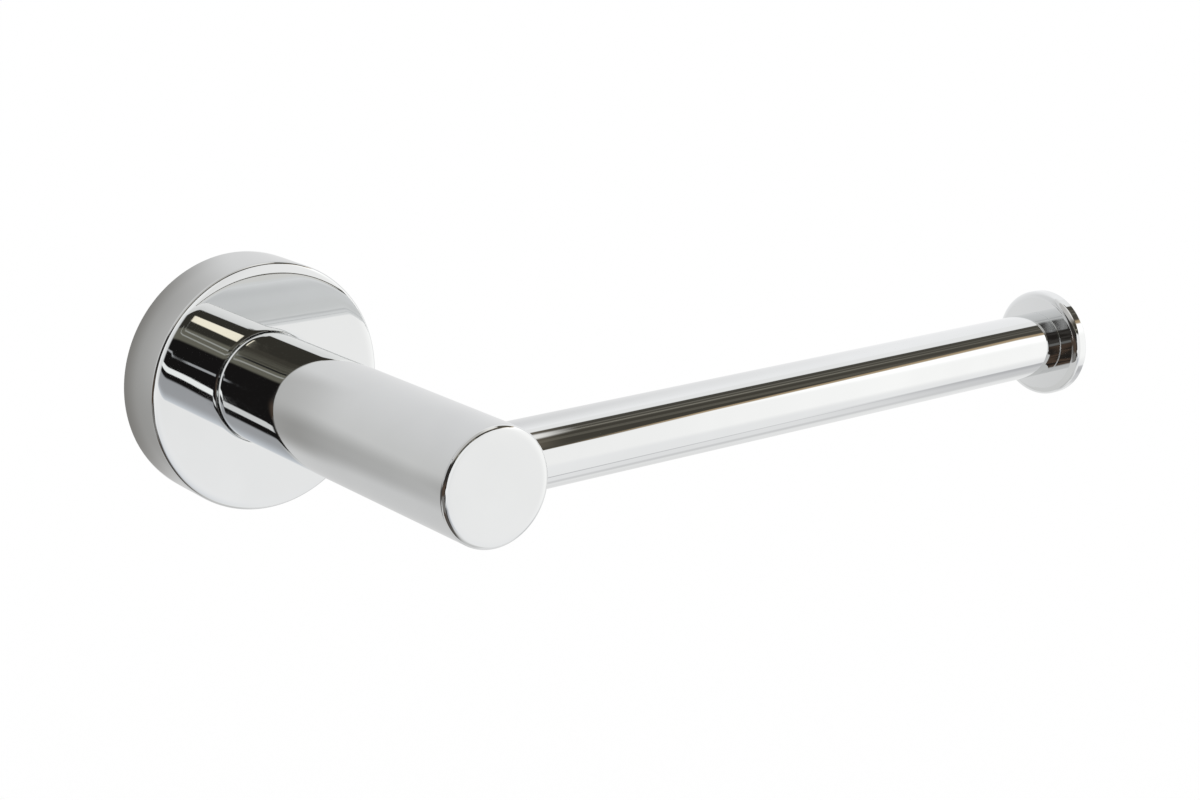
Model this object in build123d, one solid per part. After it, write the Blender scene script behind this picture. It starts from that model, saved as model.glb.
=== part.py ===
"""Wall-mounted toilet paper holder: a round rose, a post, and a bar with an end disc.

The wall is the plane y = 0 and the holder stands out of it towards -Y. The origin is the middle of
the rose's back, +Z is up and the bar runs along +X. All sizes are millimetres.
"""
import math
import os

from build123d import *

# Rose: the hollow round cover against the wall
rose_diameter = 45.0
rose_depth = 11.0
rose_rim_wall = 2.5
rose_front_wall = 3.0
rose_edge_radius = 0.6
rose_back_chamfer = 0.3
rose_margin = 1.8

# Post: stands square out of the rose
post_diameter = 20.0
projection = 81.0
post_edge_radius = 0.8
post_foot_chamfer = 0.4
post_margin = 1.4

# Radius of the slight fall towards the edge that polishing leaves on a flat face
polished_fall_radius = 14.0

# Bar: leaves the side of the post, near its front end
bar_diameter = 12.0
bar_wall = 1.0
bar_reach = 137.8
bar_setback = 11.0
bar_seat_depth = 5.0

# End disc: keeps the roll on the bar
end_disc_diameter = 20.0
end_disc_thickness = 2.8
end_disc_front_edge_radius = 0.3
end_disc_back_edge_radius = 1.2
end_disc_spigot_length = 10.0

# Threaded joints inside the bar
stud_diameter = 6.0
stud_in_post = 7.0
stud_in_plug = 11.0
root_plug_length = 14.0
tip_plug_length = 12.0

# Screw, washers and dowel that hold the post on the rose
post_screw_diameter = 6.0
post_screw_length = 14.0
post_screw_head_diameter = 10.5
post_screw_head_height = 3.3
post_screw_dome_radius = 2.2
post_screw_socket = 4.0
post_screw_socket_depth = 2.0
washer_diameter = 12.0
flat_washer_thickness = 1.6
spring_washer_thickness = 1.6
spring_washer_slit = 1.2
spring_washer_slit_angle = 25.0
dowel_diameter = 3.0
dowel_in_post = 5.0
dowel_in_rose = 2.0

# Wall bracket: the dish that is screwed to the wall inside the rose
flange_thickness = 2.0
bracket_base = 3.0
bracket_rim_wall = 2.0
bracket_chamfer = 0.6
bracket_corner_radius = 0.8
wall_screw_hole_diameter = 4.8
wall_screw_head_diameter = 8.6

# Set screw in the underside of the rose's rim, which grips the bracket
set_screw_diameter = 4.0
set_screw_length = 4.0
set_screw_recess = 0.45
set_screw_tip_chamfer = 0.7
set_screw_socket = 2.0
set_screw_socket_depth = 1.6

# Clearances, each on the radius or between two faces
rose_on_bracket_gap = 0.3
bracket_front_gap = 1.0
bracket_centre_gap = 0.5
set_screw_tip_gap = 0.05
thread_gap = 0.05
press_gap = 0.02
bar_seat_gap = 0.05
screw_hole_gap = 0.25
tap_run_out = 2.0
stud_run_out = 0.5
thread_end_chamfer = 0.5

# Sizes that follow from those above
rose_radius = rose_diameter / 2
cavity_radius = rose_radius - rose_rim_wall
cavity_depth = rose_depth - rose_front_wall
post_radius = post_diameter / 2
bar_radius = bar_diameter / 2
bar_bore_radius = bar_radius - bar_wall
bar_axis_from_wall = projection - bar_setback
bar_root = post_radius - bar_seat_depth
bar_tip = bar_reach - end_disc_thickness
stud_radius = stud_diameter / 2
post_screw_radius = post_screw_diameter / 2
washer_radius = washer_diameter / 2
flat_washer_back = cavity_depth - flat_washer_thickness
spring_washer_back = flat_washer_back - spring_washer_thickness
dowel_radius = dowel_diameter / 2
dowel_offset = (post_radius + post_screw_radius) / 2
bracket_depth = cavity_depth - bracket_front_gap
flange_radius = cavity_radius - rose_on_bracket_gap
set_screw_end = rose_radius - set_screw_recess
set_screw_tip = set_screw_end - set_screw_length
set_screw_from_wall = (flange_thickness + bracket_depth - bracket_chamfer) / 2
bracket_radius = set_screw_tip - set_screw_tip_gap
bracket_bowl_radius = bracket_radius - bracket_rim_wall
bracket_centre_radius = washer_radius + bracket_centre_gap
wall_screw_spacing = bracket_bowl_radius + bracket_centre_radius

# Working planes: the local z axis of each is the axis of the pieces built on it
out_from_wall = Plane(origin=(0, 0, 0), x_dir=(1, 0, 0), z_dir=(0, -1, 0))
along_bar = Plane(origin=(0, -bar_axis_from_wall, 0), x_dir=(0, 1, 0), z_dir=(1, 0, 0))
down_set_screw = Plane(origin=(0, -set_screw_from_wall, 0), x_dir=(1, 0, 0), z_dir=(0, 0, -1))


def round_bar(radius, start, end):
    """A solid cylinder on the local z axis, from one station to another."""
    base = (Align.CENTER, Align.CENTER, Align.MIN)
    return Pos(0, 0, start) * Cylinder(radius, end - start, align=base)


def ring(outer_radius, inner_radius, start, end):
    """A cylinder with a hole through it."""
    return round_bar(outer_radius, start, end) - round_bar(inner_radius, start, end)


def polished_round(radius, start, end, back_chamfer, edge_radius, margin):
    """A turned cylinder whose flat front face falls away over its margin into a rounded edge."""
    fall = polished_fall_radius - math.sqrt(polished_fall_radius**2 - margin**2)
    corner = (radius, end - fall)
    face_edge = (radius - margin, end)
    outline = Polyline((0, start), (radius - back_chamfer, start), (radius, start + back_chamfer), corner)
    outline += TangentArc(face_edge, corner, tangent=(1, 0))
    outline += Polyline(face_edge, (0, end), (0, start))
    section = make_face(outline)
    section = fillet(section.vertices().sort_by_distance(corner)[0], edge_radius)
    return revolve(Plane.XZ * section, Axis.Z)


def first_edges(part):
    """The edges at the lowest station."""
    return part.edges().group_by(Axis.Z)[0]


def last_edges(part):
    """The edges at the highest station."""
    return part.edges().group_by(Axis.Z)[-1]


def hexagon(across_flats, start, end):
    """A hexagonal prism, for a socket."""
    outline = RegularPolygon(across_flats / 2, 6, major_radius=False)
    return Pos(0, 0, start) * extrude(outline, end - start)


def threaded_rod(radius, start, end):
    """A plain rod with both ends chamfered, as a thread's ends are."""
    rod = round_bar(radius, start, end)
    rod = chamfer(first_edges(rod), thread_end_chamfer)
    return chamfer(last_edges(rod), thread_end_chamfer)


def at_dowel(part):
    """Moves a part to the dowel's axis, above the middle of the post."""
    return Pos(0, dowel_offset, 0) * part


def make_wall_bracket():
    """A dish with a flange against the wall, a rim for the set screw and two countersunk holes."""
    rim = chamfer(last_edges(round_bar(bracket_radius, 0, bracket_depth)), bracket_chamfer)
    bracket = rim + round_bar(flange_radius, 0, flange_thickness)
    bowl = round_bar(bracket_bowl_radius, bracket_base, bracket_depth)
    bracket -= fillet(first_edges(bowl), bracket_corner_radius)
    bracket -= round_bar(bracket_centre_radius, 0, bracket_base)
    hole_radius = wall_screw_hole_diameter / 2
    head_radius = wall_screw_head_diameter / 2
    sink = head_radius - hole_radius
    sink_base = (Align.CENTER, Align.CENTER, Align.MIN)
    for side in (-1, 1):
        place = Pos(side * wall_screw_spacing / 2, 0, 0)
        bracket -= place * round_bar(hole_radius, 0, bracket_base)
        cone = Cone(hole_radius, head_radius, sink, align=sink_base)
        bracket -= place * Pos(0, 0, bracket_base - sink) * cone
    return out_from_wall * bracket


def make_rose():
    """A cup with a polished front, open to the wall."""
    rose = polished_round(
        rose_radius, 0, rose_depth, rose_back_chamfer, rose_edge_radius, rose_margin
    )
    rose -= round_bar(cavity_radius, 0, cavity_depth)
    rose -= round_bar(post_screw_radius + screw_hole_gap, cavity_depth, rose_depth)
    dowel_hole = round_bar(dowel_radius + press_gap, rose_depth - dowel_in_rose, rose_depth)
    rose = out_from_wall * (rose - at_dowel(dowel_hole))
    set_screw_hole = round_bar(set_screw_diameter / 2 + thread_gap, bracket_radius, rose_diameter)
    return rose - down_set_screw * set_screw_hole


def make_set_screw():
    """A socket set screw, with its chamfered tip against the bracket's rim."""
    screw = round_bar(set_screw_diameter / 2, set_screw_tip, set_screw_end)
    screw = chamfer(first_edges(screw), set_screw_tip_chamfer)
    screw -= hexagon(set_screw_socket, set_screw_end - set_screw_socket_depth, set_screw_end)
    return down_set_screw * screw


def make_post():
    """A turned post with a tapped foot and a blind seat for the bar in its side."""
    post = polished_round(
        post_radius, rose_depth, projection, post_foot_chamfer, post_edge_radius, post_margin
    )
    tap_end = spring_washer_back + post_screw_length + tap_run_out
    post -= round_bar(post_screw_radius + thread_gap, rose_depth, tap_end)
    post -= at_dowel(round_bar(dowel_radius + press_gap, rose_depth, rose_depth + dowel_in_post))
    post = out_from_wall * post
    post -= along_bar * round_bar(bar_radius + bar_seat_gap, bar_root, post_diameter)
    stud_hole_end = bar_root - stud_in_post - stud_run_out
    return post - along_bar * round_bar(stud_radius + thread_gap, stud_hole_end, bar_root)


def make_post_dowel():
    """A pin that stops the post from turning on the rose."""
    return out_from_wall * at_dowel(
        round_bar(dowel_radius, rose_depth - dowel_in_rose, rose_depth + dowel_in_post)
    )


def make_post_screw():
    """A button head screw from inside the rose, with its socket towards the wall."""
    head_back = spring_washer_back - post_screw_head_height
    head = round_bar(post_screw_head_diameter / 2, head_back, spring_washer_back)
    head = fillet(first_edges(head), post_screw_dome_radius)
    head -= hexagon(post_screw_socket, head_back, head_back + post_screw_socket_depth)
    shank = round_bar(post_screw_radius, spring_washer_back, spring_washer_back + post_screw_length)
    return out_from_wall * (head + chamfer(last_edges(shank), thread_end_chamfer))


def make_spring_washer():
    """A split ring under the screw's head, pressed flat, with its slanted slit to one side."""
    washer = ring(washer_radius, post_screw_radius + thread_gap, spring_washer_back, flat_washer_back)
    middle = (spring_washer_back + flat_washer_back) / 2
    slit = Rot(spring_washer_slit_angle, 0, 0) * Box(
        washer_diameter, spring_washer_slit, washer_diameter, align=(Align.MIN, Align.CENTER, Align.CENTER)
    )
    return out_from_wall * (washer - Pos(0, 0, middle) * slit)


def make_flat_washer():
    """A plain ring on the rose's inner face."""
    return out_from_wall * ring(
        washer_radius, post_screw_radius + screw_hole_gap, flat_washer_back, cavity_depth
    )


def make_bar_tube():
    """The tube that carries the roll, from its seat in the post to the end disc."""
    return along_bar * ring(bar_radius, bar_bore_radius, bar_root, bar_tip)


def make_bar_root_plug():
    """A tapped plug in the end of the tube that sits in the post."""
    return along_bar * ring(
        bar_bore_radius - press_gap, stud_radius + thread_gap, bar_root, bar_root + root_plug_length
    )


def make_bar_stud():
    """The threaded stud that draws the bar into its seat."""
    return along_bar * threaded_rod(stud_radius, bar_root - stud_in_post, bar_root + stud_in_plug)


def make_bar_tip_plug():
    """A tapped plug in the tube's free end."""
    return along_bar * ring(
        bar_bore_radius - press_gap, stud_radius + thread_gap, bar_tip - tip_plug_length, bar_tip
    )


def make_end_disc():
    """A disc with a soft back edge, a crisp front edge and a threaded spigot for the tip plug."""
    disc = round_bar(end_disc_diameter / 2, bar_tip, bar_reach)
    disc = fillet(first_edges(disc), end_disc_back_edge_radius)
    disc = fillet(last_edges(disc), end_disc_front_edge_radius)
    spigot = round_bar(stud_radius, bar_tip - end_disc_spigot_length, bar_tip)
    return along_bar * (disc + chamfer(first_edges(spigot), thread_end_chamfer))


pieces = {
    "wall_bracket": make_wall_bracket,
    "rose": make_rose,
    "set_screw": make_set_screw,
    "post": make_post,
    "post_dowel": make_post_dowel,
    "post_screw": make_post_screw,
    "spring_washer": make_spring_washer,
    "flat_washer": make_flat_washer,
    "bar_tube": make_bar_tube,
    "bar_root_plug": make_bar_root_plug,
    "bar_stud": make_bar_stud,
    "bar_tip_plug": make_bar_tip_plug,
    "end_disc": make_end_disc,
}

os.makedirs("parts", exist_ok=True)
for node, make in pieces.items():
    export_step(make(), f"parts/{node}.step")
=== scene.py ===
"""The looks of a wall-mounted toilet paper holder, in polished chrome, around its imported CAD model.

The wall is the plane y = 0, the holder stands out of it towards -Y, its bar runs along +X and +Z is
up. Sizes are written in millimetres and turned into metres where meshes are made.
"""

import math

import bmesh
import bpy
import numpy as np
from mathutils import Matrix, Vector


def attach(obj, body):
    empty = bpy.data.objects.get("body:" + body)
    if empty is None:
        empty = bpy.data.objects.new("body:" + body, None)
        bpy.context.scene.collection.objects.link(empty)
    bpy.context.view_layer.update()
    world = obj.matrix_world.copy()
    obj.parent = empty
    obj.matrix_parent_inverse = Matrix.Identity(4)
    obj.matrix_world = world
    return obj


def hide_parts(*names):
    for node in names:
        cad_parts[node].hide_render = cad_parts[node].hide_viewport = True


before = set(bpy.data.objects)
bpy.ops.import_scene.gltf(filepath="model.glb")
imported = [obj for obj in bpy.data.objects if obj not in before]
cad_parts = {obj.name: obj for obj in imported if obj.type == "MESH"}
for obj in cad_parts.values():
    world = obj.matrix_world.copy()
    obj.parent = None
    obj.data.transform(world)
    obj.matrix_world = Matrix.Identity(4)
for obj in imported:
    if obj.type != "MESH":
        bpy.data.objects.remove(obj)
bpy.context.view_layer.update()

MM = 0.001

# Rose
rose_radius = 22.5
rose_depth = 11.0
rose_cavity_radius = 20.0
rose_cavity_depth = 8.0
rose_edge_radius = 0.6
rose_back_chamfer = 0.3
rose_margin = 2.5
rose_screw_hole_radius = 3.25

# Groove in the rose around the post's foot
seat_radius = 9.4
groove_radius = 10.1
groove_depth = 0.6
groove_edge_radius = 0.2
groove_margin = 0.9
groove_fall_deg = 8

# Post
post_radius = 10.0
post_projection = 81.0
post_edge_radius = 0.9
post_foot_radius = 0.15
post_margin = 1.8
post_tap_radius = 3.05
post_tap_end = 20.8

# Angle to which polishing lets a flat face fall towards its outer edge
outer_fall_deg = 5.1

# Dowel between the rose and the post
dowel_offset = 6.5
dowel_hole_radius = 1.52
dowel_in_post = 5.0
dowel_in_rose = 2.0

# Bar and end disc
bar_radius = 6.0
bar_bore_radius = 5.0
bar_from_wall = 70.0
bar_root = 5.0
bar_tip = 135.0
bar_tip_radius = 0.2
bar_seat_radius = 6.05
stud_hole_radius = 3.05
stud_hole_end = -2.5
disc_radius = 10.0
disc_front = 137.8
disc_front_edge_radius = 0.3
disc_back_edge_radius = 1.2
spigot_radius = 3.0
spigot_start = 125.0
spigot_chamfer = 0.5

# Set screw in the underside of the rose, stations from the rose's axis
set_screw_from_wall = 4.2
set_screw_hole_radius = 2.05
set_screw_hole_start = 18.0
set_screw_radius = 2.0
set_screw_start = 18.05
set_screw_end = 22.05
set_screw_pitch = 0.7
set_screw_thread_depth = 0.43
set_screw_chamfer = 0.5
set_screw_cup_radius = 1.0
set_screw_cup_depth = 0.5
hex_socket_width = 2.0
hex_socket_depth = 1.6

# Thread form: where its crest ends and its root starts, as shares of the way from crest to root
thread_crest_end = 1 / 8
thread_root_start = 3 / 4

# Fineness of the meshes: segments around, and steps along a profile
rose_segments = 288
post_segments = 256
bar_segments = 192
disc_segments = 256
screw_segments = 72
hole_segments = 96
stage_segments = 96
fall_steps = 24
front_edge_steps = 16
foot_edge_steps = 12
tip_edge_steps = 8
disc_front_edge_steps = 12
disc_back_edge_steps = 20
steps_per_pitch = 14

# Edges of the set screw that turn more than this stay sharp
sharp_angle_deg = 35

# The least that a cut runs past the face that it opens, and how close points of a cut are merged
cut_margin = 1.0
cut_merge = 0.002

# How closely a face has to match a turned surface or a hole to take its normals
surface_gap = 0.05
surface_unlike = 0.05
unlike_weight = 4
hole_gap = 0.02
hole_unlike = 0.1

# A point with a smaller radius lies on the axis
least_radius = 1e-9

# Axes of the turned pieces: origin and direction
POST_AXIS = ((0, 0, 0), (0, -1, 0))
BAR_AXIS = ((0, -bar_from_wall, 0), (1, 0, 0))
SET_SCREW_AXIS = ((0, -set_screw_from_wall, 0), (0, 0, -1))
DOWEL_AXIS = ((0, 0, dowel_offset), (0, -1, 0))


def straight(*points):
    """Straight runs through points (radius, station), with the outside on the left of the way along."""
    runs = []
    for (r0, s0), (r1, s1) in zip(points, points[1:]):
        length = math.hypot(r1 - r0, s1 - s0)
        normal = (-(s1 - s0) / length, (r1 - r0) / length)
        runs.append([(r0, s0, *normal), (r1, s1, *normal)])
    return runs


def rounded(centre, radius, start_deg, end_deg, steps):
    """A convex arc, as one run with an exact normal at each point."""
    run = []
    for angle in np.radians(np.linspace(start_deg, end_deg, steps + 1)):
        n_r, n_s = math.cos(angle), math.sin(angle)
        run.append((centre[0] + radius * n_r, centre[1] + radius * n_s, n_r, n_s))
    return [run]


def polished_front(radius, end, edge_radius, margin, fall_deg):
    """The slow fall of a polished face into its rounded edge, and the station where the edge ends."""
    turn = math.radians(fall_deg)
    reach = margin - edge_radius * (1 - math.sin(turn))
    steepness = math.tan(turn) / (3 * reach**2)
    fall = []
    for t in np.linspace(0, reach, fall_steps + 1):
        slope = 3 * steepness * t**2
        length = math.hypot(1, slope)
        fall.append((radius - margin + t, end - steepness * t**3, slope / length, 1 / length))
    edge_end = end - steepness * reach**3 - edge_radius * math.cos(turn)
    edge = rounded((radius - edge_radius, edge_end), edge_radius, 90 - fall_deg, 0, front_edge_steps)
    return [fall] + edge, edge_end


def inside_out(runs, radius):
    """The runs of an outer edge turned into those of a hole's edge at the same radius."""
    turned = []
    for run in reversed(runs):
        turned.append([(2 * radius - r, s, -n_r, n_s) for r, s, n_r, n_s in reversed(run)])
    return turned


def axis_frame(axis):
    """Origin, direction and two vectors across it, of a turned piece's axis."""
    origin = np.array(axis[0], float)
    along = np.array(axis[1], float)
    side = np.cross(along, (0, 0, 1)) if abs(along[2]) < 0.5 else np.array((1.0, 0, 0))
    side /= np.linalg.norm(side)
    return origin, along, side, np.cross(along, side)


def ringed_mesh(name, axis, rings, closed):
    """A mesh through rings of points (radius, station), each with one point or one for each segment."""
    origin, along, side, up = axis_frame(axis)
    segments = max(len(ring) for ring in rings)
    bm = bmesh.new()
    made = []
    for ring in rings:
        corners = []
        for k, (r, s) in enumerate(ring):
            angle = 2 * math.pi * k / segments
            outward = math.cos(angle) * side + math.sin(angle) * up
            corners.append(bm.verts.new((origin + along * s + r * outward) * MM))
        made.append(corners)
    for a, b in zip(made, made[1:] + (made[:1] if closed else [])):
        for k in range(segments):
            n = (k + 1) % segments
            corners = [a[k % len(a)], a[n % len(a)], b[n % len(b)], b[k % len(b)]]
            corners = list(dict.fromkeys(corners))
            if len(corners) > 2:
                bm.faces.new(corners)
    bmesh.ops.recalc_face_normals(bm, faces=bm.faces)
    mesh = bpy.data.meshes.new(name)
    bm.to_mesh(mesh)
    bm.free()
    return mesh


def turned_mesh(name, axis, runs, segments, closed):
    """A lathe mesh of a profile, one ring of vertices for each point off the axis."""
    points = [runs[0][0][:2]]
    for run in runs:
        points += [p[:2] for p in run[1:]]
    if closed:
        points = points[:-1]
    rings = [[p] * (segments if p[0] > least_radius else 1) for p in points]
    return ringed_mesh(name, axis, rings, closed)


def new_object(name, mesh):
    obj = bpy.data.objects.new(name, mesh)
    bpy.context.scene.collection.objects.link(obj)
    return obj


def cut_hole(obj, axis, radius, start, end, segments=hole_segments):
    """Cuts a round hole out of a piece, or with few segments a socket with flats."""
    runs = straight((0, end), (radius, end), (radius, start), (0, start))
    cutter = new_object("cutter", turned_mesh("cutter", axis, runs, segments, closed=False))
    modifier = obj.modifiers.new("hole", "BOOLEAN")
    modifier.operation = "DIFFERENCE"
    modifier.solver = "EXACT"
    modifier.object = cutter
    graph = bpy.context.evaluated_depsgraph_get()
    mesh = bpy.data.meshes.new_from_object(obj.evaluated_get(graph))
    mesh.name = obj.data.name
    clean_cut(mesh)
    obj.modifiers.clear()
    old = obj.data
    obj.data = mesh
    bpy.data.meshes.remove(old)
    bpy.data.objects.remove(cutter)


def clean_cut(mesh):
    """Merges the slivers that a cut leaves, and splits its faces with many corners into triangles."""
    bm = bmesh.new()
    bm.from_mesh(mesh)
    bmesh.ops.remove_doubles(bm, verts=bm.verts, dist=cut_merge * MM)
    bmesh.ops.dissolve_degenerate(bm, edges=bm.edges, dist=cut_merge * MM)
    bmesh.ops.triangulate(bm, faces=[face for face in bm.faces if len(face.verts) > 4])
    bm.to_mesh(mesh)
    bm.free()


class TurnedSurface:
    """The true surface that a profile makes around its axis."""

    def __init__(self, axis, runs):
        self.origin, self.along, _, _ = axis_frame(axis)
        steps = np.array([(*a, *b) for run in runs for a, b in zip(run, run[1:])])
        self.start, self.start_normal = steps[:, 0:2], steps[:, 2:4]
        self.step, self.end_normal = steps[:, 4:6] - self.start, steps[:, 6:8]
        self.step_squared = (self.step**2).sum(1)

    def local(self, points):
        """Points as radius and station, and their directions away from the axis."""
        flat = points - self.origin
        stations = flat @ self.along
        radial = flat - stations[:, None] * self.along
        radii = np.linalg.norm(radial, axis=1)
        return np.stack([radii, stations], 1), radial / np.maximum(radii, least_radius)[:, None]

    def nearest_step(self, middle, facing):
        """The step of the profile that a face lies on, or None where it lies on none."""
        share = np.clip(((middle - self.start) * self.step).sum(1) / self.step_squared, 0, 1)
        gap = np.linalg.norm(self.start + share[:, None] * self.step - middle, axis=1)
        unlike = 1 - (self.start_normal + self.end_normal) @ facing / 2
        best = np.argmin(gap + unlike_weight * unlike)
        return best if gap[best] < surface_gap and unlike[best] < surface_unlike else None

    def normals(self, corners, face_normal):
        """The normals at a face's corners, or None where the face isn't of this surface."""
        places, outward = self.local(np.vstack([corners, corners.mean(0)]))
        facing = np.array((face_normal @ outward[-1], face_normal @ self.along))
        k = self.nearest_step(places[-1], facing)
        if k is None:
            return None
        share = (places[:-1] - self.start[k]) @ self.step[k] / self.step_squared[k]
        share = np.clip(share, 0, 1)[:, None]
        flat = (1 - share) * self.start_normal[k] + share * self.end_normal[k]
        return flat[:, :1] * outward[:-1] + flat[:, 1:] * self.along


def hole_normals(corners, face_normal, holes):
    """The normals of a face's corners in the hole that it lines, or None where it lines no hole."""
    for hole_axis, radius in holes:
        origin, along, _, _ = axis_frame(hole_axis)
        away = corners - origin
        away = away - np.outer(away @ along, along)
        distance = np.linalg.norm(away, axis=1)
        if np.all(abs(distance - radius) < hole_gap) and abs(face_normal @ along) < hole_unlike:
            return -away / distance[:, None]
    return None


def exact_normals(mesh, axis, runs, holes):
    """Gives each corner the normal of the true turned surface or hole that its face lies on."""
    surface = TurnedSurface(axis, runs)
    normals = np.zeros((len(mesh.loops), 3))
    for face in mesh.polygons:
        corners = np.array([mesh.vertices[v].co for v in face.vertices]) / MM
        face_normal = np.array(face.normal)
        exact = surface.normals(corners, face_normal)
        if exact is None:
            exact = hole_normals(corners, face_normal, holes)
        rows = slice(face.loop_start, face.loop_start + face.loop_total)
        normals[rows] = face_normal if exact is None else exact
    for face in mesh.polygons:
        face.use_smooth = True
    lengths = np.linalg.norm(normals, axis=1)
    mesh.normals_split_custom_set((normals / lengths[:, None]).tolist())


def turned_piece(name, axis, runs, segments, closed=False, holes=()):
    """A turned piece with holes, each hole given as its axis, radius, start and end."""
    obj = new_object(name, turned_mesh(name, axis, runs, segments, closed))
    for hole in holes:
        cut_hole(obj, *hole)
    exact_normals(obj.data, axis, runs, [hole[:2] for hole in holes])
    return obj


def make_rose():
    lip, lip_start = polished_front(
        groove_radius, rose_depth, groove_edge_radius, groove_margin, groove_fall_deg
    )
    front, edge_end = polished_front(
        rose_radius, rose_depth, rose_edge_radius, rose_margin, outer_fall_deg
    )
    runs = straight(
        (rose_screw_hole_radius, rose_depth),
        (seat_radius, rose_depth),
        (seat_radius, rose_depth - groove_depth),
        (groove_radius, rose_depth - groove_depth),
        (groove_radius, lip_start),
    )
    runs += inside_out(lip, groove_radius)
    runs += straight(
        (groove_radius + groove_margin, rose_depth), (rose_radius - rose_margin, rose_depth)
    )
    runs += front
    runs += straight(
        (rose_radius, edge_end),
        (rose_radius, rose_back_chamfer),
        (rose_radius - rose_back_chamfer, 0),
        (rose_cavity_radius, 0),
        (rose_cavity_radius, rose_cavity_depth),
        (rose_screw_hole_radius, rose_cavity_depth),
        (rose_screw_hole_radius, rose_depth),
    )
    holes = [
        (SET_SCREW_AXIS, set_screw_hole_radius, set_screw_hole_start, 2 * rose_radius),
        (DOWEL_AXIS, dowel_hole_radius, rose_depth - dowel_in_rose, 2 * rose_depth),
    ]
    return turned_piece("rose_polished", POST_AXIS, runs, rose_segments, closed=True, holes=holes)


def make_post():
    front, edge_end = polished_front(
        post_radius, post_projection, post_edge_radius, post_margin, outer_fall_deg
    )
    foot_centre = (post_radius - post_foot_radius, rose_depth + post_foot_radius)
    runs = straight((0, post_projection), (post_radius - post_margin, post_projection))
    runs += front
    runs += straight((post_radius, edge_end), (post_radius, foot_centre[1]))
    runs += rounded(foot_centre, post_foot_radius, 0, -90, foot_edge_steps)
    runs += straight(
        (foot_centre[0], rose_depth),
        (post_tap_radius, rose_depth),
        (post_tap_radius, post_tap_end),
        (0, post_tap_end),
    )
    holes = [
        (BAR_AXIS, bar_seat_radius, bar_root, 2 * post_radius),
        (BAR_AXIS, stud_hole_radius, stud_hole_end, bar_root + cut_margin),
        (DOWEL_AXIS, dowel_hole_radius, 0, rose_depth + dowel_in_post),
    ]
    return turned_piece("post_polished", POST_AXIS, runs, post_segments, holes=holes)


def make_bar_tube():
    tip_centre = (bar_radius - bar_tip_radius, bar_tip - bar_tip_radius)
    runs = rounded(tip_centre, bar_tip_radius, 90, 0, tip_edge_steps)
    runs += straight(
        (bar_radius, tip_centre[1]),
        (bar_radius, bar_root),
        (bar_bore_radius, bar_root),
        (bar_bore_radius, bar_tip),
        (tip_centre[0], bar_tip),
    )
    return turned_piece("bar_polished", BAR_AXIS, runs, bar_segments, closed=True)


def make_end_disc():
    front_edge = (disc_radius - disc_front_edge_radius, disc_front - disc_front_edge_radius)
    back_edge = (disc_radius - disc_back_edge_radius, bar_tip + disc_back_edge_radius)
    runs = straight((0, disc_front), (front_edge[0], disc_front))
    runs += rounded(front_edge, disc_front_edge_radius, 90, 0, disc_front_edge_steps)
    runs += straight((disc_radius, front_edge[1]), (disc_radius, back_edge[1]))
    runs += rounded(back_edge, disc_back_edge_radius, 0, -90, disc_back_edge_steps)
    runs += straight(
        (back_edge[0], bar_tip),
        (spigot_radius, bar_tip),
        (spigot_radius, spigot_start + spigot_chamfer),
        (spigot_radius - spigot_chamfer, spigot_start),
        (0, spigot_start),
    )
    return turned_piece("end_disc_polished", BAR_AXIS, runs, disc_segments)


def thread_ring(station):
    """One ring of the set screw's surface, which winds around once for each pitch along it."""
    from_end = min(station - set_screw_start, set_screw_end - station)
    widest = set_screw_radius - max(0, set_screw_chamfer - from_end)
    ring = []
    for k in range(screw_segments):
        off_crest = abs((station / set_screw_pitch - k / screw_segments) % 1 - 0.5) * 2
        height = (thread_root_start - off_crest) / (thread_root_start - thread_crest_end)
        depth = set_screw_thread_depth * (1 - min(max(height, 0), 1))
        ring.append((min(widest, set_screw_radius - depth), station))
    return ring


def make_set_screw():
    """A cup point set screw with a real helical thread and a hexagon socket."""
    name = "set_screw_threaded"
    steps = round((set_screw_end - set_screw_start) / set_screw_pitch * steps_per_pitch)
    stations = np.linspace(set_screw_start, set_screw_end, steps + 1)
    cup_bottom = [(0, set_screw_start + set_screw_cup_depth)]
    cup_edge = [(set_screw_cup_radius, set_screw_start)] * screw_segments
    rings = [cup_bottom, cup_edge, *(thread_ring(s) for s in stations), [(0, set_screw_end)]]
    obj = new_object(name, ringed_mesh(name, SET_SCREW_AXIS, rings, closed=False))
    socket_radius = hex_socket_width / math.sqrt(3)
    socket_start = set_screw_end - hex_socket_depth
    cut_hole(obj, SET_SCREW_AXIS, socket_radius, socket_start, set_screw_end + cut_margin, segments=6)
    for face in obj.data.polygons:
        face.use_smooth = True
    obj.data.set_sharp_from_angle(angle=math.radians(sharp_angle_deg))
    return obj


# Shader nodes


def add_node(tree, kind, inputs=(), **settings):
    """Adds a node. Its inputs are numbers, colours, or what other nodes give."""
    made = tree.nodes.new("ShaderNode" + kind)
    for name, value in settings.items():
        setattr(made, name, value)
    for key, value in dict(inputs).items():
        value = value.socket if isinstance(value, Field) else value
        if isinstance(value, bpy.types.NodeSocket):
            tree.links.new(value, made.inputs[key])
        else:
            made.inputs[key].default_value = value
    return made


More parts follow.
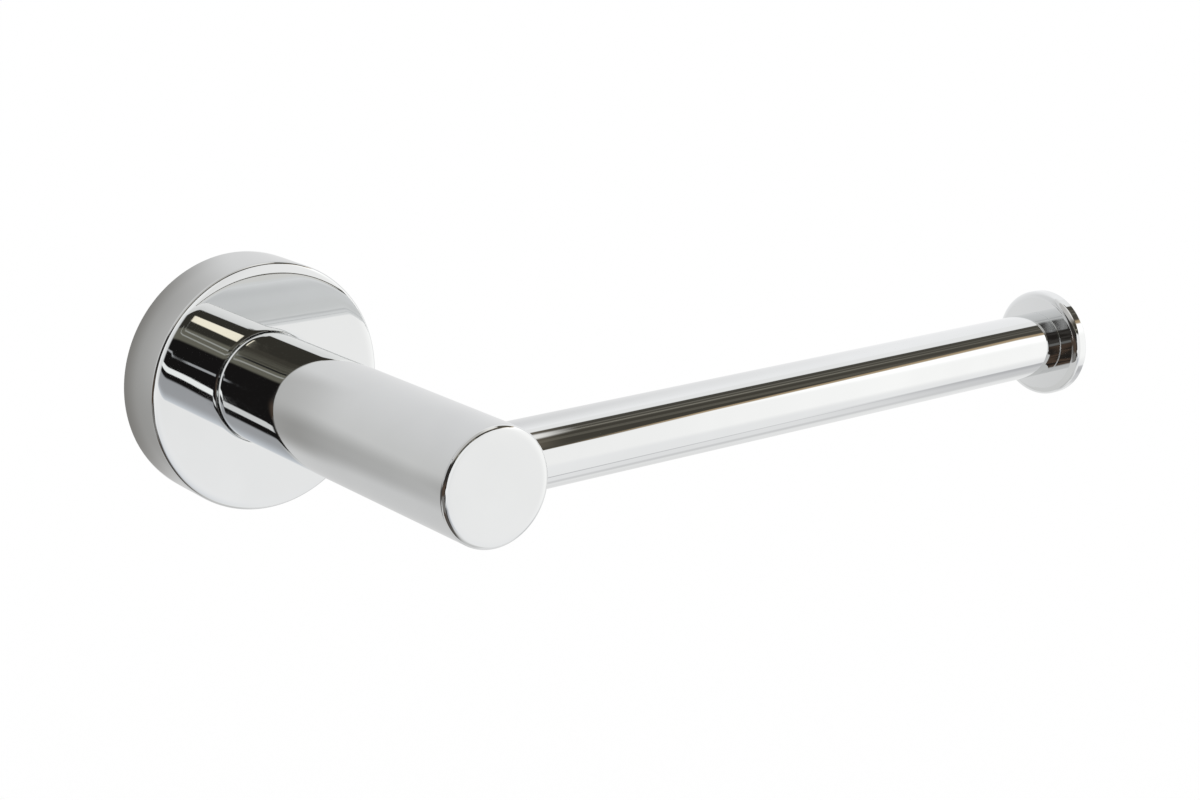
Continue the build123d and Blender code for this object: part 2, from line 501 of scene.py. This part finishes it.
class Field:
    """A number that varies over a shader, with the sums that its masks are made of."""

    def __init__(self, socket):
        self.socket = socket
        self.tree = socket.id_data

    def math(self, operation, other=0.0):
        return Field(add_node(self.tree, "Math", {0: self, 1: other}, operation=operation).outputs[0])

    def __add__(self, other):
        return self.math("ADD", other)

    def __sub__(self, other):
        return self.math("SUBTRACT", other)

    def __mul__(self, other):
        return self.math("MULTIPLY", other)

    def ranged(self, start, end, low, high, kind="SMOOTHSTEP"):
        """From low before start to high after end."""
        inputs = {"Value": self, "From Min": start, "From Max": end, "To Min": low, "To Max": high}
        return Field(add_node(self.tree, "MapRange", inputs, interpolation_type=kind).outputs[0])

    def rise(self, start, end):
        """0 before start and 1 after end, or the other way about where end comes first."""
        return self.ranged(start, end, 0, 1)

    def band(self, start, end, soft):
        """1 between start and end, with edges as wide as soft."""
        return self.rise(start - soft, start) * self.rise(end + soft, end)


def over(below, colour, mask):
    """A colour laid over another where its mask is 1."""
    under, on_top = [(*c, 1) if isinstance(c, tuple) else c for c in (below, colour)]
    return add_node(mask.tree, "Mix", {0: mask, 6: under, 7: on_top}, data_type="RGBA").outputs[2]


def noise(tree, place, scale, detail, **settings):
    """Blender's noise at a place, or along one number."""
    inputs = {"Scale": scale, "Detail": detail, "W" if isinstance(place, Field) else "Vector": place}
    return Field(add_node(tree, "TexNoise", inputs, **settings).outputs[0])


def new_material(name):
    material = bpy.data.materials.new(name)
    material.use_nodes = True
    tree = material.node_tree
    return material, tree, tree.nodes["Principled BSDF"]


def object_place(tree):
    return add_node(tree, "TexCoord").outputs["Object"]


def make_metal(name, tones, patch_scale, roughness, gloss_scale, relief_scale, relief):
    """A bare metal: patches of two close tones, uneven gloss, and a fine relief."""
    material, tree, shader = new_material(name)
    place = object_place(tree)
    shader.inputs["Metallic"].default_value = 1
    colour = over(*tones, noise(tree, place, patch_scale, 3).rise(0.35, 0.65))
    tree.links.new(colour, shader.inputs["Base Color"])
    gloss = noise(tree, place, gloss_scale, 3).ranged(0.3, 0.7, *roughness)
    tree.links.new(gloss.socket, shader.inputs["Roughness"])
    height = noise(tree, place, relief_scale, 2)
    bump = add_node(tree, "Bump", {"Height": height, "Strength": 1.0, "Distance": relief * MM})
    tree.links.new(bump.outputs[0], shader.inputs["Normal"])
    return material


chrome = make_metal(
    "polished_chrome",
    tones=((0.79, 0.80, 0.80), (0.81, 0.82, 0.82)),
    patch_scale=60,
    roughness=(0.012, 0.03),
    gloss_scale=350,
    relief_scale=70,
    relief=0.006,
)
zinc = make_metal(
    "tumbled_zinc",
    tones=((0.53, 0.54, 0.55), (0.58, 0.59, 0.60)),
    patch_scale=220,
    roughness=(0.34, 0.5),
    gloss_scale=900,
    relief_scale=2200,
    relief=0.02,
)
steel = make_metal(
    "turned_steel",
    tones=((0.55, 0.55, 0.54), (0.64, 0.64, 0.63)),
    patch_scale=500,
    roughness=(0.2, 0.34),
    gloss_scale=1500,
    relief_scale=4000,
    relief=0.004,
)
brass = make_metal(
    "turned_brass",
    tones=((0.68, 0.52, 0.25), (0.76, 0.60, 0.31)),
    patch_scale=400,
    roughness=(0.2, 0.36),
    gloss_scale=1500,
    relief_scale=3000,
    relief=0.006,
)

for make, node, body, slot, material in (
    (make_rose, "rose", "holder", "chrome", chrome),
    (make_post, "post", "holder", "chrome", chrome),
    (make_bar_tube, "bar_tube", "holder", "chrome", chrome),
    (make_end_disc, "end_disc", "holder", "chrome", chrome),
    (make_set_screw, "set_screw", "screw", "steel", steel),
):
    piece = make()
    piece.data.materials.append(material)
    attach(piece, body)
    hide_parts(node)

for node, material in (
    ("wall_bracket", zinc),
    ("post_dowel", steel),
    ("post_screw", steel),
    ("spring_washer", steel),
    ("flat_washer", steel),
    ("bar_root_plug", brass),
    ("bar_stud", steel),
    ("bar_tip_plug", brass),
):
    bpy.data.objects[node].material_slots[0].material = material

# Studio


class Tent:
    """What the chrome sees in each direction: a white tent, open to a dark room in front, on the left
    and overhead. Angles are in degrees, and x, y and z are those of a direction one unit long.
    """

    def __init__(self, tree):
        self.tree = tree
        self.direction = add_node(tree, "TexCoord").outputs["Generated"]
        parts = add_node(tree, "SeparateXYZ", {0: self.direction}).outputs
        self.x, self.y, self.z = (Field(part) for part in parts)
        self.ahead = self.y * -1
        self.upper = self.z.math("GREATER_THAN", 0)

        degrees = 180 / math.pi
        self.about_x = self.z.math("ARCTAN2", self.ahead) * degrees  # 0 ahead, 90 up, 180 to the wall
        self.about_y = self.z.math("ARCTAN2", self.x) * degrees  # 0 right, 90 up, 180 left
        past_top = self.about_y.math("GREATER_THAN", 90)
        self.low_about_y = self.about_y - past_top * 360  # 0 right, -90 down, -180 left
        self.off_ahead = self.ahead.math("ARCCOSINE") * degrees

        # The post shows two rings of directions: one in its image in the rose, and a wider one in itself
        off_ahead = self.off_ahead
        self.nearer = off_ahead.rise(31.95, 31.75)
        self.wider = off_ahead.rise(31.75, 31.95)
        self.slant = off_ahead.ranged(29.7, 31.7, -3, 3, "LINEAR") - self.wider * 2
        lean = off_ahead.ranged(30.8, 31.7, 0, 5, "LINEAR") + self.wider * 12
        self.lean = lean + off_ahead.ranged(32, 33.5, 0, 4, "LINEAR")

        # Further out lies what the bar and the disc show
        self.outer = off_ahead.rise(40, 50)

    def seen(self):
        """The colour in each direction, with each thing laid over those before it."""
        light = self.room()
        for add in (
            self.add_ceiling,
            self.add_lamps,
            self.add_table,
            self.add_panel,
            self.add_screen,
            self.add_back,
            self.add_things,
        ):
            light = add(light)
        return light

    def room(self):
        """The dark room: dim and brown at its sides, and grey low on the left and straight below."""
        x, z, outer = self.x, self.z, self.outer
        light = over((0.011, 0.010, 0.010), (0.10, 0.092, 0.085), outer)
        side = over((0.032, 0.029, 0.027), (0.086, 0.062, 0.047), z.rise(0.18, -0.02))
        light = over(light, side, x.rise(-0.55, -0.68))
        low_left = z.band(-0.55, -0.28, 0.08) * x.rise(-0.4, -0.5) * outer
        light = over(light, (0.22, 0.213, 0.204), low_left)
        straight_below = z.rise(-0.45, -0.60) * x.rise(-0.24, -0.02) * outer
        return over(light, (0.5, 0.5, 0.495), straight_below)

    def add_ceiling(self, light):
        overhead = self.overhead()
        pale = over((0.57, 0.56, 0.545), (0.93, 0.915, 0.89), self.x.rise(0.1, 0.42))
        ceiling = over(self.outer_ceiling(self.inner_ceiling()), pale, overhead)
        return over(light, ceiling, self.upper * (self.about_y - overhead * 10).rise(137, 131))

    def inner_ceiling(self):
        """The ceiling that the post shows: dark on the right, lighter on the left, with two thin lines."""
        about_y, wider = self.about_y, self.wider
        lit = over((0.09, 0.083, 0.066), (0.175, 0.168, 0.135), about_y.rise(92, 108))
        ceiling = over((0.042, 0.039, 0.032), lit, (about_y + wider * 19).rise(102, 107))
        fine = noise(self.tree, about_y, 0.8, 3, noise_dimensions="1D").rise(0.56, 0.44)
        ceiling = over(ceiling, (0.045, 0.041, 0.033), fine * wider * about_y.rise(120, 110))
        ceiling = over(ceiling, (0.02, 0.02, 0.02), about_y.band(114, 115.5, 1.5) * wider)
        inner_line = self.beyond_line(111.5, 30.05, 40).band(-0.5, 0.5, 1.8)
        inner_line = inner_line * self.nearer * about_y.rise(80, 86)
        outer_line = self.beyond_line(122.3, 28.4, 8).band(-0.5, 0.5, 1.6) * about_y.rise(95, 105)
        for line in (inner_line, outer_line):
            ceiling = over(ceiling, (0.46, 0.46, 0.43), line)
        return ceiling

    def beyond_line(self, side, start, steepness):
        """How far a direction lies outside a line along one side that turns in at its start."""
        corner = 12
        across = (self.about_y - self.slant - side + corner).math("MAXIMUM", 0)
        before = (self.off_ahead * -steepness + start * steepness + corner).math("MAXIMUM", 0)
        return (across * across + before * before).math("SQRT") - corner

    def outer_ceiling(self, ceiling):
        """The ceiling that the bar shows, with streaks along the bar, laid over the inner one."""
        x, about_x, outer = self.x, self.about_x, self.outer
        ceiling = over(ceiling, (0.085, 0.080, 0.066), outer)
        fading = x.ranged(0.64, 0.74, 1, 0.4)
        for start, end, soft, colour in (
            (36, 46, 4, (0.062, 0.057, 0.046)),
            (50.5, 53.5, 3, (0.145, 0.135, 0.110)),
            (58.5, 62, 3, (0.066, 0.060, 0.048)),
            (67.5, 69.5, 2.5, (0.26, 0.245, 0.205)),
            (72, 73.5, 1.5, (0.10, 0.094, 0.078)),
            (76, 78, 2, (0.17, 0.16, 0.135)),
            (80.5, 82.5, 2, (0.072, 0.068, 0.058)),
        ):
            ceiling = over(ceiling, colour, about_x.band(start, end, soft) * outer * fading)
        streaks = noise(self.tree, about_x, 0.5, 3, noise_dimensions="1D").rise(0.54, 0.44)
        ceiling = over(ceiling, (0.05, 0.045, 0.037), streaks * outer * 0.5)
        return over(ceiling, (0.21, 0.18, 0.14), x.rise(0.58, 0.56) * outer * 0.6)

    def overhead(self):
        """The place of the pale field overhead, which narrows towards the right."""
        x, about_x = self.x, self.about_x
        past_low_end = about_x - x.ranged(0.47, 0.61, 50, 70, "LINEAR")
        past_low_end = past_low_end * x.ranged(0.1, 0.4, 0.4, 1, "LINEAR")
        past_high_end = about_x - x.ranged(0.47, 0.61, 97, 72, "LINEAR")
        return past_low_end.rise(-4, 4) * past_high_end.rise(4, -4) * x.rise(0.584, 0.566)

    def add_lamps(self, light):
        """A lamp above, and on the left a strip light and a fainter one with a dim stretch in it."""
        about_y, low_about_y, off_ahead = self.about_y, self.low_about_y, self.off_ahead
        lamp = about_y.rise(65.5, 67.5) * (about_y - self.slant).rise(86.5, 83.5)
        lamp = lamp * off_ahead.rise(29.9, 30.4) * self.nearer
        light = over(light, (1.31, 1.21, 0.99), lamp)
        strip = (low_about_y - self.lean).band(-161, -150.5, 2) * off_ahead.rise(40, 36)
        light = over(light, over((1.2, 1.21, 1.2), (0.85, 0.85, 0.85), self.wider), strip)
        dimming = off_ahead.band(30.4, 30.6, 0.1).ranged(0, 1, 1, 0.15)
        second_strip = (low_about_y + off_ahead.ranged(29.3, 30.5, 7, 0)).band(-189.5, -187, 2)
        return over(light, (0.47, 0.475, 0.49), second_strip * dimming * self.nearer)

    def add_table(self, light):
        """A white table below, with a seam along it and a grey corner on the right."""
        x, about_x, low_about_y, off_ahead = self.x, self.about_x, self.low_about_y, self.off_ahead
        bluish = low_about_y.rise(-100, -55) * self.ahead.rise(0.2, 0.6)
        table = over((0.45, 0.455, 0.475), (0.72, 0.75, 0.80), bluish)
        outer_table = over((0.60, 0.60, 0.60), (0.95, 0.95, 0.95), x.rise(-0.2, 0.45))
        outer_table = over(outer_table, (0.64, 0.64, 0.635), off_ahead.rise(50, 60) * x.rise(0.5, 0.3))
        table = over(table, outer_table, off_ahead.rise(34, 40))
        table = over(table, (0.97, 0.97, 0.975), low_about_y.rise(-62, -38))

        right = x.rise(0.2, 0.4)
        table = over(table, (0.90, 0.90, 0.905), about_x.rise(-62, -72) * right)
        seam = about_x - x.ranged(0.55, 0.67, -69.5, -66, "LINEAR")
        seam = seam - x.ranged(0.67, 0.737, 0, 5.5, "LINEAR")
        seam_place = seam.band(-0.7, 0.7, 1.6) * right * x.ranged(0.55, 0.68, 1, 0.5)
        table = over(table, (0.56, 0.56, 0.575), seam_place)
        table = over(table, (0.78, 0.78, 0.79), about_x.rise(-84, -92) * right)
        corner = over((0.53, 0.53, 0.545), (0.68, 0.68, 0.69), about_x.rise(-63, -78))
        corner_start = about_x - x.ranged(0.735, 0.75, 0, 6)
        table = over(table, corner, corner_start.rise(-56, -61) * x.rise(0.65, 0.74))

        left_end = self.lean + off_ahead.ranged(35, 43, 0, 18)
        table_place = (low_about_y - left_end).rise(-138, -132) * low_about_y.rise(20, 10)
        near_or_right = off_ahead.ranged(45, 55, 1, 0).math("MAXIMUM", x.rise(-0.1, 0.1))
        return over(light, table, table_place * near_or_right)

    def add_panel(self, light):
        """A white panel on the right, with a brown upper edge."""
        x, about_x, about_y, off_ahead = self.x, self.about_x, self.about_y, self.off_ahead
        edge = off_ahead.ranged(34, 44, 7, 0, "LINEAR") + self.nearer * 6.6
        edge = edge + x.ranged(0.55, 0.63, -3.6, 2.2, "LINEAR")
        edge = edge + x.ranged(0.733, 0.75, 0, -2.5, "LINEAR")
        edge = edge + off_ahead.ranged(24, 30, 12, 0, "LINEAR")
        above_edge = about_y - edge - 31.6
        panel = over((0.90, 0.895, 0.89), (0.99, 0.985, 0.98), x.rise(0.38, 0.5))
        panel = over(panel, (1.14, 1.135, 1.125), about_x.rise(-56, -25) * x.rise(0.5, 0.7))
        panel = over(panel, (1.35, 1.35, 1.34), about_y.rise(12, 30) * off_ahead.rise(46, 54))
        rim = above_edge.band(0.4, 2.6, 1.8) * self.outer * x.rise(0.56, 0.575)
        light = over(light, (0.46, 0.35, 0.22), rim)
        panel_place = above_edge.rise(1.4, -0.9) * self.low_about_y.rise(-40, -25) * x.rise(0.1, 0.25)
        return over(light, panel, panel_place)

    def add_screen(self, light):
        """A pale screen straight ahead."""
        return over(light, (1.0, 1.0, 1.0), self.off_ahead.rise(25, 22.5))

    def add_back(self, light):
        """The white back, beyond the edge of the wall, with a dark far left."""
        x, y, z = self.x, self.y, self.z
        back = over((0.75, 0.75, 0.75), (0.95, 0.95, 0.95), x.rise(-0.2, 0.6))
        light = over(light, back, self.upper * self.about_x.rise(88, 91))
        low_back = over((0.72, 0.72, 0.725), (0.88, 0.88, 0.88), y.rise(0.08, 0.22))
        back = over(back, low_back, z.rise(0.1, -0.1))
        back = over(back, (0.45, 0.45, 0.45), x.rise(0.86, 0.93) * y.rise(0.1, 0.2))
        far_left = x.rise(-0.8, -0.9)
        back = over(back, (0.45, 0.45, 0.45), far_left)
        back = over(back, (0.71, 0.71, 0.705), x.rise(-0.3, -0.6) * z.rise(-0.36, -0.46))
        back = over(back, (0.055, 0.047, 0.042), far_left * z.band(-0.3, 0.12, 0.08))
        return over(light, back, y.rise(-0.02, 0.05))

    def add_things(self, light):
        """Things at the far left in a narrow range of x, which is where the end disc looks."""
        x, about_x = self.x, self.about_x
        things = over((0.055, 0.050, 0.046), (0.09, 0.06, 0.043), about_x.rise(5, -10))
        stretched = {0: self.direction, 1: (160, 5, 5)}
        across = add_node(self.tree, "VectorMath", stretched, operation="MULTIPLY").outputs[0]
        things = over(things, (0.022, 0.019, 0.017), noise(self.tree, across, 1, 2).rise(0.55, 0.4))
        things = over(things, (0.17, 0.17, 0.165), about_x.band(0, 5, 3))
        hook_start, hook_spacing = -0.7427, 0.005
        hooks = ((x - hook_start) * (2 * math.pi / hook_spacing)).math("COSINE").rise(-0.5, 0.5)
        things = over(things, (0.38, 0.38, 0.38), hooks * about_x.band(53, 100, 6))
        return over(light, things, x.band(-0.751, -0.7395, 0.006) * self.ahead.rise(-0.17, 0.01))


def make_world():
    """An even white world, in which glossy surfaces see the tent instead."""
    world = bpy.data.worlds.new("studio")
    bpy.context.scene.world = world
    world.use_nodes = True
    tree = world.node_tree
    even = tree.nodes["Background"]
    even.inputs["Color"].default_value = (1, 1, 1, 1)
    even.inputs["Strength"].default_value = 1
    tent = add_node(tree, "Background", {"Color": Tent(tree).seen(), "Strength": 1.0})
    glossy = add_node(tree, "LightPath").outputs["Is Glossy Ray"]
    chosen = add_node(tree, "MixShader", {0: glossy, 1: even.outputs[0], 2: tent.outputs[0]})
    tree.links.new(chosen.outputs[0], tree.nodes["World Output"].inputs[0])
    world.cycles.sampling_method = "NONE"


def stage_material(name):
    """A material of the stage, still without a shader."""
    material, tree, shader = new_material(name)
    tree.nodes.remove(shader)
    return material, tree


def stage_place(tree):
    """Where a point of the stage lies, in millimetres."""
    parts = add_node(tree, "SeparateXYZ", {0: object_place(tree)}).outputs
    return [Field(part) * (1 / MM) for part in parts]


def link_surface(tree, shader):
    tree.links.new(shader.outputs[0], tree.nodes["Material Output"].inputs[0])


def one_sided(tree, shader):
    """The shader on the front of a surface, and nothing on its back."""
    behind = add_node(tree, "NewGeometry").outputs["Backfacing"]
    clear = add_node(tree, "BsdfTransparent")
    return add_node(tree, "MixShader", {0: behind, 1: shader.outputs[0], 2: clear.outputs[0]})


def show_in_chrome_only(obj):
    for kind in ("camera", "diffuse", "transmission", "volume_scatter", "shadow"):
        setattr(obj, "visible_" + kind, False)


def wall_painted_light(tree):
    """A pale wall whose light and shade are painted into its glow: darker at the far left, with a painted
    soft shadow of the holder on the left of the rose.
    """
    x, _, z = stage_place(tree)
    radius = (x * x + z * z).math("SQRT")
    # Painted tones of the glow: lighter towards the right, darker low down and at the far left
    colour = over((0.66, 0.66, 0.655), (0.82, 0.82, 0.825), x.rise(-70, 50))
    colour = over(colour, (1.0, 1.0, 1.01), x.rise(30, 220))
    low = over((0.66, 0.66, 0.66), (0.83, 0.83, 0.83), x.rise(0, 90))
    low = over(low, (0.90, 0.90, 0.90), x.rise(100, 230))
    colour = over(colour, low, z.rise(0, -45))
    dark_left = x.rise(-62, -100) * z.rise(35, -25) * z.rise(-130, -90)
    colour = over(colour, (0.07, 0.065, 0.06), dark_left)
    colour = over(colour, (0.40, 0.40, 0.40), x.rise(-75, -120) * z.rise(20, 60))
    colour = over(colour, (0.74, 0.74, 0.75), z.rise(15, 70) * x.rise(130, 60) * 0.5)

    # Painted shadow of the post and holder: a soft streak running left and down from the rose
    tilt = math.radians(20)
    along = x * -math.cos(tilt) + z * -math.sin(tilt)
    across = (x * math.sin(tilt) + z * -math.cos(tilt)).math("ABSOLUTE")
    width = along.ranged(20, 90, 18, 40, "LINEAR")
    shade = across.math("DIVIDE", width).rise(1.3, 0.2) * along.ranged(30, 85, 0.52, 0.16, "LINEAR")
    colour = over(colour, (0.17, 0.165, 0.155), shade * along.rise(18, 36))

    # Painted contact shade in rings around the rose's edge, strongest on its left
    leftness = (x * -1 + z * 0.2).rise(5, 23)
    for shadow, outside, inside, strength in (
        ((0.15, 0.14, 0.125), 25.5, 22.5, 0.5),
        ((0.17, 0.16, 0.145), 31, 22, 0.55),
        ((0.17, 0.16, 0.145), 46, 30, 0.32),
    ):
        colour = over(colour, shadow, radius.rise(outside, inside) * leftness * strength)
    return colour


def make_wall():
    """The wall around the rose, seen only in the chrome."""
    hole_radius, outer_radius, behind_rose = 22.7, 400, 0.3
    axis = ((0, behind_rose, 0), (0, -1, 0))
    runs = straight((hole_radius, 0), (outer_radius, 0))
    wall = new_object("wall", turned_mesh("wall", axis, runs, stage_segments, closed=False))
    material, tree = stage_material("wall")
    link_surface(tree, add_node(tree, "Emission", {"Color": wall_painted_light(tree), "Strength": 1.0}))
    wall.data.materials.append(material)
    show_in_chrome_only(wall)


def make_cards():
    """Two small pale cards beside the end disc, seen from the disc's side and only in the chrome."""
    material, tree = stage_material("card")
    z_place = stage_place(tree)[2]
    colour = over((0.71, 0.71, 0.705), (0.62, 0.62, 0.62), z_place.rise(-10, -25))
    link_surface(tree, one_sided(tree, add_node(tree, "Emission", {"Color": colour, "Strength": 1.0})))

    # Outlines as y and z: one below the bar with a step in its top, and one along the disc's round edge
    front, back, bottom, top, low_top, step = -150, -62, -90, -8.8, -10.2, -73
    stepped = [(front, bottom), (back, bottom), (back, low_top), (step, low_top), (step, top)]
    stepped += [(front, top)]
    crescent_radius, crescent_front, crescent_bottom = 8.75, -85, -15
    crescent_start_deg, crescent_end_deg, crescent_points = 90, 14, 20
    arc = []
    for turn in np.radians(np.linspace(crescent_start_deg, crescent_end_deg, crescent_points)):
        y_place = -bar_from_wall - crescent_radius * math.cos(turn)
        arc.append((y_place, -crescent_radius * math.sin(turn)))
    crescent = [(-bar_from_wall, crescent_bottom), *arc]
    crescent += [(crescent_front, arc[-1][1]), (crescent_front, crescent_bottom)]
    for from_disc, outline in ((4, stepped), (0.4, crescent)):
        bm = bmesh.new()
        bm.faces.new([bm.verts.new(Vector((bar_tip - from_disc, y, z)) * MM) for y, z in outline])
        mesh = bpy.data.meshes.new("card")
        bm.to_mesh(mesh)
        bm.free()
        card = new_object("card", mesh)
        card.data.materials.append(material)
        show_in_chrome_only(card)


def make_floor():
    """A pale floor that takes the holder's shadow, and in whose place the chrome sees the table."""
    level, radius = -200, 4000
    axis = ((0, 0, level), (0, 0, 1))
    runs = straight((0, 0), (radius, 0))
    floor = new_object("floor", turned_mesh("floor", axis, runs, stage_segments, closed=False))
    floor.data.flip_normals()  # to face up
    material, tree = stage_material("floor")
    paper = add_node(tree, "BsdfDiffuse", {"Color": (0.8, 0.8, 0.8, 1)})
    lift = add_node(tree, "Emission", {"Color": (1, 1, 1, 1), "Strength": 0.2})
    lifted = add_node(tree, "AddShader", {0: paper.outputs[0], 1: lift.outputs[0]})
    to_camera = add_node(tree, "LightPath").outputs["Is Camera Ray"]
    seen = add_node(tree, "MixShader", {0: to_camera, 1: paper.outputs[0], 2: lifted.outputs[0]})
    link_surface(tree, one_sided(tree, seen))
    floor.data.materials.append(material)
    floor.visible_glossy = False


make_world()
make_wall()
make_cards()
make_floor()

# Camera
camera_place = (-185.582, -342.756, 106.926)
camera_azimuth_deg = -38.102
camera_elevation_deg = 16.127
camera_roll_deg = 0.628
camera_lens = 66.285
camera_sensor = 36

camera = bpy.data.objects.new("camera", bpy.data.cameras.new("camera"))
bpy.context.scene.collection.objects.link(camera)
camera.data.lens = camera_lens
camera.data.sensor_width = camera_sensor
camera.data.clip_start = 0.01
camera.data.clip_end = 50
azimuth = Matrix.Rotation(math.radians(camera_azimuth_deg), 4, "Z")
elevation = Matrix.Rotation(math.pi / 2 - math.radians(camera_elevation_deg), 4, "X")
roll = Matrix.Rotation(math.radians(camera_roll_deg), 4, "Z")
camera.matrix_world = Matrix.Translation(Vector(camera_place) * MM) @ azimuth @ elevation @ roll
bpy.context.scene.camera = camera
bpy.context.scene.view_settings.view_transform = "Standard"
